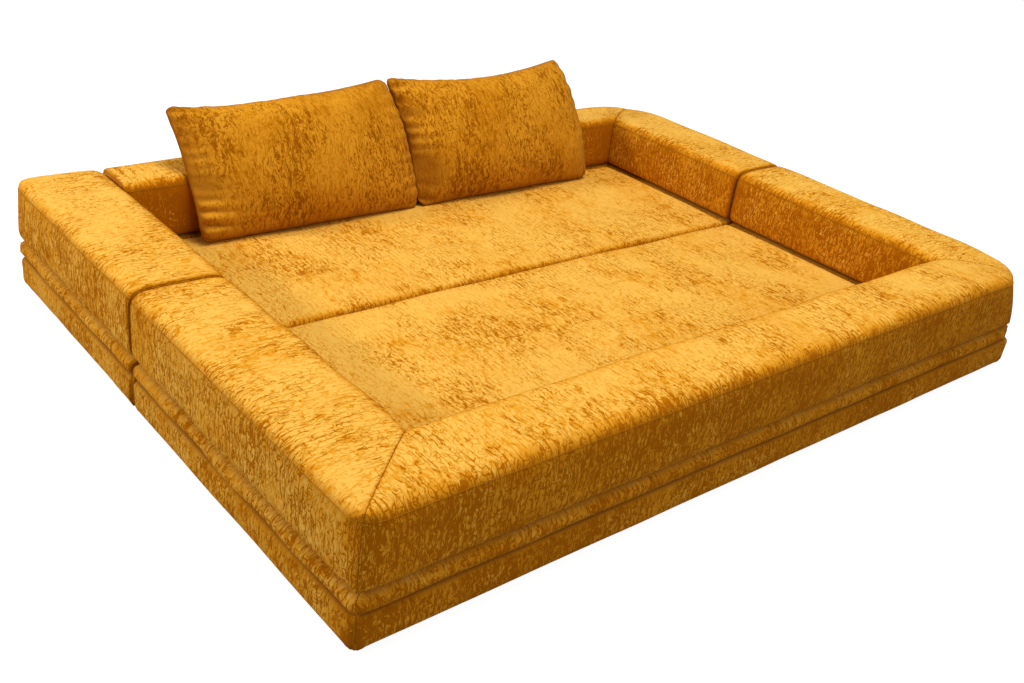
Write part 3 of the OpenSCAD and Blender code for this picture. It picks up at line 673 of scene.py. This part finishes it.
def buildBase(half):
    side, b = plan[half], base
    profile = baseProfile(b, levels["baseLow"], levels["base"])
    heights = profile[:, 1]
    stations = basePlan(side, b)
    rows = np.array([baseRow(station, profile, b) for station in stations])
    outer = rows[:, b["flatRow"]]
    run = np.concatenate([[0], np.cumsum(np.hypot(*(np.roll(outer, -1, 0) - outer).T))])
    arc = np.concatenate([[0], np.cumsum(np.hypot(*np.diff(profile, axis=0).T))])
    total, count = len(rows), len(profile)
    cornerStations = [n for n, q in enumerate(stations) if q[4] is not None and abs(abs(q[5]) - abs(q[6])) < 1e-6]
    points, creaseShade = [], []
    for i in range(total):
        gap = min(min(abs(run[i] - run[n]), run[-1] - abs(run[i] - run[n])) for n in cornerStations)
        near = math.exp(-gap / b["seamReach"])
        c, s = stations[i][5:]
        for j in range(count):
            u, v = rows[i, j]
            out = float(swell(run[i], arc[j], 0.0, 5 + (half == "rear"), 0.22))
            free = math.sin(math.pi * min(max((heights[j] - levels["baseLow"]) / b["tall"], 0), 1)) * (1 - near)
            push = (form["unevenness"] * 0.8 * out + b["crown"]) * free - b["seamValley"] * near ** 2
            if profile[j][0] < b["pad"] - 1e-6:
                u, v = u + c * push, v + s * push
            points.append((u, side["joint"] + side["sign"] * v, heights[j]))
            # painted shade: darker at the corner seams and along the top, where the band sits on the base
            creaseShade.append(max(near * 0.6, math.exp(-max(levels["base"] - heights[j], 0) / b["topReach"])))
    faces, uvs = [], []
    depthRun = np.concatenate([arc, [arc[-1] + 0.01]])
    for i in range(total):
        k = (i + 1) % total
        for j in range(count):
            l = (j + 1) % count
            faces.append((i * count + j, k * count + j, k * count + l, i * count + l))
            uvs += [(run[m], depthRun[n]) for m, n in ((i, j), (i + 1, j), (i + 1, j + 1), (i, j + 1))]
    for i in cornerStations:
        seamLines.append((f"{half}_half", None, [Vector(points[i * count + j]) for j in range(3, count - 7)], False))
    shift = (2.7, 5.1 if half == "rear" else 1.3)
    piece = clothPiece(f"{half}_base_pad", np.array(points), faces, np.array(uvs) + shift, creaseShade)
    cutHoles(piece, side, base)
    return piece


def cutHoles(piece, side, b):
    # the locating pins pass through the padding at the joint
    tool = bmesh.new()
    z = (levels["base"] + b["holeHeight"][0] + b["holeHeight"][1]) / 2
    for way in (-1, 1):
        place = Matrix.Translation((way * side["halfLying"] * b["holePlace"], side["joint"] + side["sign"] * 0.01, z))
        bmesh.ops.create_cone(tool, cap_ends=True, segments=28, radius1=b["holeRadius"], radius2=b["holeRadius"],
                              depth=0.05, matrix=place @ Matrix.Rotation(math.pi / 2, 4, "X"))
    mesh = bpy.data.meshes.new("holeTool")
    tool.to_mesh(mesh)
    tool.free()
    cutter = addObject("holeTool", mesh)
    modifier = piece.modifiers.new("holes", "BOOLEAN")
    modifier.object, modifier.operation, modifier.solver = cutter, "DIFFERENCE", "EXACT"
    bakeModifiers(piece)
    bpy.data.objects.remove(cutter)


def bakeModifiers(piece):
    graph = bpy.context.evaluated_depsgraph_get()
    done = piece.evaluated_get(graph)
    fresh = bpy.data.meshes.new_from_object(done, preserve_all_data_layers=True, depsgraph=graph)
    piece.modifiers.clear()
    piece.data = fresh


for half in ("rear", "front"):
    dressNode(buildBase(half), f"{half}_base_cover", f"{half}_half", "gold_velvet", goldVelvet, 0.8)
print("base covers made")


pillow = {
    "width": 0.800, "height": 0.460, "frontCrown": 0.082, "backCrown": 0.050, "lean": 31.0, "bend": 30.0,
    "gap": 0.005, "off": 0.0019, "across": 92, "up": 72, "plump": 0.42, "sideDraw": -0.002, "topDraw": 0.16,
    "footDraw": 0.01, "round": 0.030, "slump": (0.030, -0.014), "skew": 0.020, "crowding": 0.92, "seamReach": 0.016,
    # the cloth: filling pressure, slack, and the furthest that a point may move
    "pressure": 0.30, "spare": 0.014, "cap": 0.010, "frames": 20, "stiffness": 12, "bending": 0.6, "stayOff": 0.0012,
}
gathers = {"pitch": 0.050, "reach": 0.050, "left": 0.015, "right": 0.007, "ends": 0.004}


def gather(x, y, p, way):
    # folds that run in from the seams, deepest on the left side and in the lower corners
    def grip(away, reach):
        return np.exp(-away / reach) * (1 - np.exp(-away / 0.004))

    def folds(place, seed):
        rng = np.random.default_rng(seed)
        total = 0
        for k in range(2):
            pitch = gathers["pitch"] * rng.uniform(1.3, 2.2)
            total = total + np.sin(2 * math.pi * place / pitch + rng.uniform(0, 6.3) + 1.3 * np.sin(place / 0.06 + k))
        return np.abs(total) / 1.3 - 0.7
    total = 0
    for edge, amount in ((-1, gathers["left"]), (1, gathers["right"])):
        away = p["width"] / 2 - edge * x
        fold = amount * grip(away, gathers["reach"]) * folds(y + 0.12 * away, 30 + way * 7 + edge)
        total = total + fold * (1.25 - y / p["height"])
    for edge in (-1, 1):
        held = grip(p["height"] / 2 - edge * y, gathers["reach"] * 0.6)
        total = total + gathers["ends"] * held * folds(x, 60 + way * 5 + edge)
    return total


def pillowGrid(p, way):
    # one row lies at the bolster's top edge, where the pillow leans on it
    radius = p["height"] / math.radians(p["bend"])
    start = math.radians(p["lean"] - p["bend"] / 2)
    low = corners("left_pillow")[0][2]
    edge = math.asin(math.sin(start) + (levels["top"] + 0.004 - low) / radius)
    share = (math.degrees(edge) - p["lean"]) * 2 / p["bend"]
    t = np.radians(np.linspace(0, 90, p["up"] // 2 + 1))
    b = np.concatenate([-1 + (1 + share) * (1 - np.cos(t)), share + (1 - share) * np.sin(t[1:])])
    a = np.sin(np.radians(90 * np.linspace(-1, 1, p["across"] + 1)) * p["crowding"])
    a /= math.sin(math.radians(90 * p["crowding"]))
    a, b = np.meshgrid(a, b, indexing="ij")
    body = np.maximum((1 - a * a) * (1 - b * b), 0) ** p["plump"]
    # rounded corners: the last square of each becomes a quarter disc
    over = [np.abs(t) * size / 2 - size / 2 + p["round"] for t, size in ((a, p["width"]), (b, p["height"]))]
    reach = np.maximum(np.hypot(*np.maximum(over, 0)), 1e-9)
    pull = 1 - np.where((over[0] > 0) & (over[1] > 0), np.maximum(*over) / reach, 1)
    ra = np.sign(a) * (np.abs(a) - over[0] * pull * 2 / p["width"])
    rb = np.sign(b) * (np.abs(b) - over[1] * pull * 2 / p["height"])
    draw = 1 - np.where(b < 0, p["footDraw"], p["topDraw"]) * rb * rb * (1 - ra * ra)
    slump = p["slump"][way > 0] / p["height"] * 2 * np.clip(0.15 + way * a, 0, 1) * np.clip(b, 0, 1) ** 2
    lean = np.radians(p["lean"] + p["bend"] / 2 * (rb * draw - slump))
    x = way * (p["width"] + p["gap"]) / 2 + p["width"] / 2 * ra * (1 - p["sideDraw"] * ra * ra * (1 - rb * rb))
    x = x - p["skew"] * ((1 + b) / 2) ** 1.5
    wall = plan["rear"]["joint"] + plan["rear"]["inner"] - form["clear"]
    y = wall - p["off"] - radius * (np.cos(lean) - math.cos(edge))
    z = low + radius * (np.sin(lean) - math.sin(start))
    room = np.where(z < levels["top"] + form["clear"] * 2, (wall - y) / np.cos(lean),
                    (z - levels["top"] - form["clear"]) / np.sin(lean))
    faces = []
    folds = gather(p["width"] / 2 * a, p["height"] / 2 * b, p, way)
    for rise in (p["frontCrown"] * body + folds, -np.minimum(p["backCrown"] * body, room)):
        faces.append(np.stack([x, y - rise * np.cos(lean), z + rise * np.sin(lean)], -1))
    flat = np.stack([p["width"] / 2 * a, p["height"] / 2 * b], -1)
    return faces, flat, a, b, folds


pillowEdges = {}


def buildPillow(name, way):
    p = pillow
    (front, back), flat, a, b, folds = pillowGrid(p, way)
    na, nb = p["across"] + 1, p["up"] + 1
    inner = np.zeros((na, nb), bool)
    inner[1:-1, 1:-1] = True
    frontId = np.arange(na * nb).reshape(na, nb)
    backId = frontId.copy()
    backId[inner] = na * nb + np.arange(inner.sum())
    points = np.concatenate([front.reshape(-1, 3), back[inner]])
    gapA, gapB = (1 - np.abs(a)) * p["width"] / 2, (1 - np.abs(b)) * p["height"] / 2
    # painted shade: darker near the seams and in the valleys of the gathers
    near = np.maximum(np.exp(-np.minimum(gapA, gapB) / p["seamReach"]), np.clip(-folds / 0.006, 0, 0.70))
    creaseShade = np.concatenate([near.ravel(), near[inner]])
    faces, uvs = [], []
    for i in range(na - 1):
        for j in range(nb - 1):
            ring = ((i, j), (i + 1, j), (i + 1, j + 1), (i, j + 1))
            faces.append(tuple(int(frontId[q]) for q in ring))
            uvs += [tuple(flat[q]) for q in ring]
            faces.append(tuple(int(backId[q]) for q in ring[::-1]))
            uvs += [tuple(flat[q] + (2, 2)) for q in ring[::-1]]
    piece = clothPiece(name, points, faces, np.array(uvs) + (11 + way, 4), creaseShade)
    rim = (frontId[:, 0], frontId[-1, 1:], frontId[-2::-1, -1], frontId[0, -2:0:-1])
    edge = [int(v) for side in rim for v in side]
    seamLines.append((name[:-8], piece, edge, True))
    pillowEdges[name] = edge
    return piece


for name, way in (("left_pillow", -1), ("right_pillow", 1)):
    dressNode(buildPillow(name + "_cushion", way), name, name, "pillow_velvet", pillowVelvet, 0.7)
print("pillows made")


def readPoints(mesh):
    points = np.empty(len(mesh.vertices) * 3)
    mesh.vertices.foreach_get("co", points)
    return points.reshape(-1, 3)


def writePoints(mesh, points):
    mesh.vertices.foreach_set("co", np.asarray(points, dtype=np.float32).ravel())
    mesh.update()


def hangCloth(piece, held, p):
    piece.vertex_groups.new(name="held").add(held, 1.0, "REPLACE")
    modifier = piece.modifiers.new("stuffing", "CLOTH")
    cloth = modifier.settings
    cloth.quality, cloth.mass = 5, 0.25
    cloth.tension_stiffness = cloth.compression_stiffness = p["stiffness"]
    cloth.shear_stiffness, cloth.bending_stiffness = 4, p["bending"]
    cloth.use_pressure, cloth.uniform_pressure_force = True, p["pressure"]
    cloth.shrink_min = -p["spare"]
    cloth.vertex_group_mass, cloth.pin_stiffness = "held", 1.0
    cloth.effector_weights.gravity = 0
    modifier.collision_settings.use_collision = False
    modifier.point_cache.frame_start, modifier.point_cache.frame_end = 1, p["frames"]


def settle(pieces, p):
    # plays the cloth, then scales all moves down so that none passes the cap
    before = {piece.name: readPoints(piece.data) for piece in pieces}
    for frameNow in range(1, p["frames"] + 1):
        scene.frame_set(frameNow)
    graph = bpy.context.evaluated_depsgraph_get()
    for piece in pieces:
        after = readPoints(piece.evaluated_get(graph).data)
        move = after - before[piece.name]
        size = float(np.linalg.norm(move, axis=1).max())
        move *= min(1, p["cap"] / max(size, 1e-9))
        print("  settled", piece.name, "largest move", round(size * 1000, 1), "mm")
        piece.modifiers.clear()
        piece.vertex_groups.clear()
        writePoints(piece.data, before[piece.name] + move)
    scene.frame_set(1)


def keepClear(points):
    # a pillow stays off the bolster behind it and the mattress below it
    inner = plan["rear"]["joint"] + plan["rear"]["inner"] - pillow["stayOff"]
    top = levels["top"] + pillow["stayOff"]
    behind, under = points[:, 1] - inner, top - points[:, 2]
    hit = (behind > 0) & (under > 0)
    points[hit & (behind < under), 1] = inner
    points[hit & (behind >= under), 2] = top
    points[:, 2] = np.maximum(points[:, 2], corners("left_pillow")[0][2])
    return points


cushions = [entry[0] for entry in pads if entry[3] == "pillow_velvet"]
for piece in cushions:
    hangCloth(piece, pillowEdges[piece.name], pillow)
settle(cushions, pillow)
for piece in cushions:
    writePoints(piece.data, keepClear(readPoints(piece.data)))
    modifier = piece.modifiers.new("smooth", "SUBSURF")
    modifier.levels = modifier.render_levels = 1
    bakeModifiers(piece)
print("pillows settled")


seamCord = {"Cord radius": 0.0010, "Stitch pitch": 0.0062, "Stitch length": 0.0040, "Stitch width": 0.0017}
stitchLean = 24   # degrees


def seamNodes(material):
    # a cord along the curve, with leaning stitches set on it
    tree = bpy.data.node_groups.new("sewnSeam", "GeometryNodeTree")
    tree.interface.new_socket("Geometry", in_out="INPUT", socket_type="NodeSocketGeometry")
    for name in seamCord:
        tree.interface.new_socket(name, in_out="INPUT", socket_type="NodeSocketFloat")
    tree.interface.new_socket("Geometry", in_out="OUTPUT", socket_type="NodeSocketGeometry")

    def node(kind, values, **settings):
        return addNode(tree, kind, values, **settings)
    given = tree.nodes.new("NodeGroupInput").outputs
    path, width = given["Geometry"], given["Stitch width"]
    circle = node("GeometryNodeCurvePrimitiveCircle", {"Resolution": 7, "Radius": given["Cord radius"]})
    cord = node("GeometryNodeCurveToMesh", {0: path, 1: circle.outputs[0], "Fill Caps": True})
    spread = node("GeometryNodeCurveToPoints", {0: path, "Length": given["Stitch pitch"]}, mode="LENGTH")
    bead = node("GeometryNodeMeshIcoSphere", {"Radius": 0.5, "Subdivisions": 1})
    turn = (0.0, math.radians(stitchLean), 0.0)
    lean = node("FunctionNodeRotateRotation", {0: spread.outputs["Rotation"], 1: turn}, rotation_space="LOCAL")
    size = node("ShaderNodeCombineXYZ", {0: width, 1: width, 2: given["Stitch length"]})
    dots = node("GeometryNodeInstanceOnPoints", {0: spread.outputs[0], "Instance": bead.outputs[0],
                                                 "Rotation": lean.outputs[0], "Scale": size.outputs[0]})
    solid = node("GeometryNodeRealizeInstances", {0: dots.outputs[0]})
    join = node("GeometryNodeJoinGeometry", {0: cord.outputs[0]})
    put(solid.outputs[0], join.inputs[0])
    smooth = node("GeometryNodeSetShadeSmooth", {0: join.outputs[0]})
    paint = node("GeometryNodeSetMaterial", {0: smooth.outputs[0], "Material": material})
    node("NodeGroupOutput", {0: paint.outputs[0]})
    return tree


def sewSeams(name, body, material):
    curve = bpy.data.curves.new(name, "CURVE")
    curve.dimensions = "3D"
    for owner, piece, line, closed in seamLines:
        if owner != body:
            continue
        points = line if piece is None else [piece.data.vertices[i].co for i in line]
        spline = curve.splines.new("POLY")
        spline.points.add(len(points) - 1)
        spline.points.foreach_set("co", [c for p in points for c in (*p, 1)])
        spline.use_cyclic_u = closed
    source = addObject(name + "Path", curve)
    modifier = source.modifiers.new("sewnSeam", "NODES")
    modifier.node_group = tree = seamNodes(material)
    for item in tree.interface.items_tree:
        if item.in_out == "INPUT" and item.name in seamCord:
            modifier[item.identifier] = seamCord[item.name]
    graph = bpy.context.evaluated_depsgraph_get()
    mesh = bpy.data.meshes.new_from_object(source.evaluated_get(graph), depsgraph=graph)
    bpy.data.objects.remove(source)
    seam = addObject(name, mesh)
    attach(seam, body)
    print("  ", name, len(mesh.polygons), "faces")


for half in ("rear", "front"):
    sewSeams(half + "_seams", half + "_half", goldSeam)
for body in ("left_pillow", "right_pillow"):
    sewSeams(body + "_seam", body, pillowSeam)
print("seams sewn")


timber = {"light": (0.78, 0.58, 0.34), "dark": (0.52, 0.33, 0.16), "knot": (0.24, 0.12, 0.05), "ringScale": 34.0,
          "grainScale": 160.0}
ply = {"light": (0.80, 0.64, 0.42), "dark": (0.66, 0.48, 0.28), "edge": (0.40, 0.25, 0.13), "pitch": 0.0030}


def pine(name, stretch, t):
    material, tree, shader = startMaterial(name)
    coords = stretched(objectCoords(tree), stretch)
    rings = noise(coords, t["ringScale"], 3, 0.55, 0.6)
    grain = noise(coords, t["grainScale"], 3, 0.7)
    knots = between(noise(objectCoords(tree), 5.5, 1), 0.68, 0.76)
    band = between(rings, 0.36, 0.62)
    color = mixColor(band, t["light"], t["dark"])
    color = mixColor(times(grain, 0.35), color, t["dark"])
    putAll(shader, {
        "Base Color": mixColor(times(knots, 0.7), color, t["knot"]),
        "Roughness": between(grain, 0.3, 0.7, 0.48, 0.66),
        "Normal": bump(plus(grain, band), 0.25, 0.0008)})
    return material


def plywood(name, p):
    # plies show as stripes on the edges
    material, tree, shader = startMaterial(name)
    coords = objectCoords(tree)
    face = noise(stretched(coords, (3, 40, 40)), 3, 3, 0.6, 0.5)
    wave = maths("SINE", times(separated(coords)[2], 2 * math.pi / p["pitch"]))
    facing = separated(tree.nodes.new("ShaderNodeNewGeometry").outputs["Normal"])
    side = maths("LESS_THAN", maths("ABSOLUTE", facing[2]), 0.5)
    plies = times(between(wave, -0.4, 0.4), side)
    color = mixColor(times(plies, 0.75), mixColor(face, p["light"], p["dark"]), p["edge"])
    putAll(shader, {"Base Color": color, "Roughness": 0.6, "Normal": bump(face, 0.2, 0.0005)})
    return material


def zincSteel(name):
    material, tree, shader = startMaterial(name)
    coords = objectCoords(tree)
    spangle = shaderNode("TexVoronoi", {"Vector": coords, "Scale": 260}).outputs["Distance"]
    scuff = noise(coords, 90, 4, 0.65)
    putAll(shader, {
        "Base Color": mixColor(spangle, (0.78, 0.79, 0.80), (0.60, 0.62, 0.64)), "Metallic": 0.95,
        "Roughness": between(scuff, 0.3, 0.7, 0.28, 0.5), "Normal": bump(scuff, 0.15, 0.0003)})
    return material


def dustCloth(name):
    material, tree, shader = startMaterial(name)
    coords = objectCoords(tree)
    fibre = noise(stretched(coords, (1, 0.25, 1)), 900, 3, 0.7)
    dimple = noise(coords, 240, 1)
    putAll(shader, {
        "Base Color": mixColor(between(fibre, 0.35, 0.7), (0.018, 0.018, 0.020), (0.055, 0.055, 0.06)),
        "Roughness": 0.95, "Normal": bump(plus(fibre, dimple), 0.4, 0.0005)})
    return material


def blackPlastic(name):
    material, tree, shader = startMaterial(name)
    grain = noise(objectCoords(tree), 1400, 2)
    wear = noise(objectCoords(tree), 60, 3)
    putAll(shader, {
        "Base Color": mixColor(between(wear, 0.45, 0.75), (0.030, 0.030, 0.033), (0.065, 0.065, 0.07)),
        "Roughness": between(wear, 0.3, 0.7, 0.38, 0.55), "Normal": bump(grain, 0.3, 0.0002)})
    return material


hardware = {
    "pineAlongX": pine("pineAlongX", (0.06, 1, 1), timber), "pineAlongY": pine("pineAlongY", (1, 0.06, 1), timber),
    "plywood": plywood("plywood", ply), "zincSteel": zincSteel("zincSteel"), "dustCloth": dustCloth("dustCloth"),
    "blackPlastic": blackPlastic("blackPlastic"),
}


def finishOf(node):
    for ends, finish in ((("end_rail", "cross_rails"), "pineAlongY"), (("board",), "plywood"),
                         (("_rail", "slats"), "pineAlongX"), (("bolts", "nuts", "screws", "pins"), "zincSteel")):
        if node.endswith(ends):
            return finish
    return "blackPlastic"


dustSheet = {"drawIn": 0.012}


def addDustSheet(half, d):
    # drawn in, so that its corners stay behind the cushion round the base
    flat = frame["nodes"][f"{half}_dust_cover"]
    sheet = addObject(f"{half}_dust_sheet", flat.data.copy())
    sheet.matrix_world = flat.matrix_world.copy()
    points = readPoints(sheet.data)
    middle, reach = (points.max(0) + points.min(0)) / 2, (points.max(0) - points.min(0)) / 2
    away = points - middle
    edge = (np.abs(away) > reach - 1e-4) & (reach > 0.1)
    writePoints(sheet.data, points - np.where(edge, np.sign(away) * d["drawIn"], 0))
    sheet.data.materials.clear()
    sheet.data.materials.append(hardware["dustCloth"])
    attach(sheet, f"{half}_half")
    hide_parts(f"{half}_dust_cover")


for half in ("rear", "front"):
    addDustSheet(half, dustSheet)
covered = {entry[1] for entry in pads} | {"rear_dust_cover", "front_dust_cover"}
for node, thing in frame["nodes"].items():
    if node in covered:
        continue
    if not thing.material_slots:
        thing.data.materials.append(hardware[finishOf(node)])
    for place in thing.material_slots:
        place.material = hardware[finishOf(node)]
print("frame and hardware finished")


for piece, node, body, slot, fill in pads:
    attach(piece, body)
    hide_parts(node)


def seenRay(tree):
    # 1 where the camera sees a surface, straight or in a gloss, and 0 for light that bounces
    path = tree.nodes.new("ShaderNodeLightPath")
    return maths("MAXIMUM", path.outputs["Is Camera Ray"], path.outputs["Is Glossy Ray"])


def addFloor(s):
    mesh = bpy.data.meshes.new("floor")
    half = s["floorHalf"]
    mesh.from_pydata([(-half, -half, 0), (half, -half, 0), (half, half, 0), (-half, half, 0)], [], [(0, 1, 2, 3)])
    floor = addObject("floor", mesh)
    material, tree, shader = startMaterial("paleFloor")
    seen = seenRay(tree)
    putAll(shader, {
        "Base Color": mixColor(seen, (s["floorBounce"],) * 3, (s["floorColor"],) * 3), "Roughness": 0.9,
        "Emission Color": (1, 1, 1, 1), "Emission Strength": times(seen, s["floorGlow"])})
    mesh.materials.append(material)


def addWorld(s):
    world = bpy.data.worlds.new("studio")
    scene.world = world
    world.use_nodes = True
    tree = world.node_tree
    putAll(tree.nodes["Background"], {
        "Color": (1, 1, 1, 1), "Strength": between(seenRay(tree), 0, 1, s["skyLight"], 1.0)})


addFloor(studio)
addWorld(studio)
bpy.context.view_layer.update()
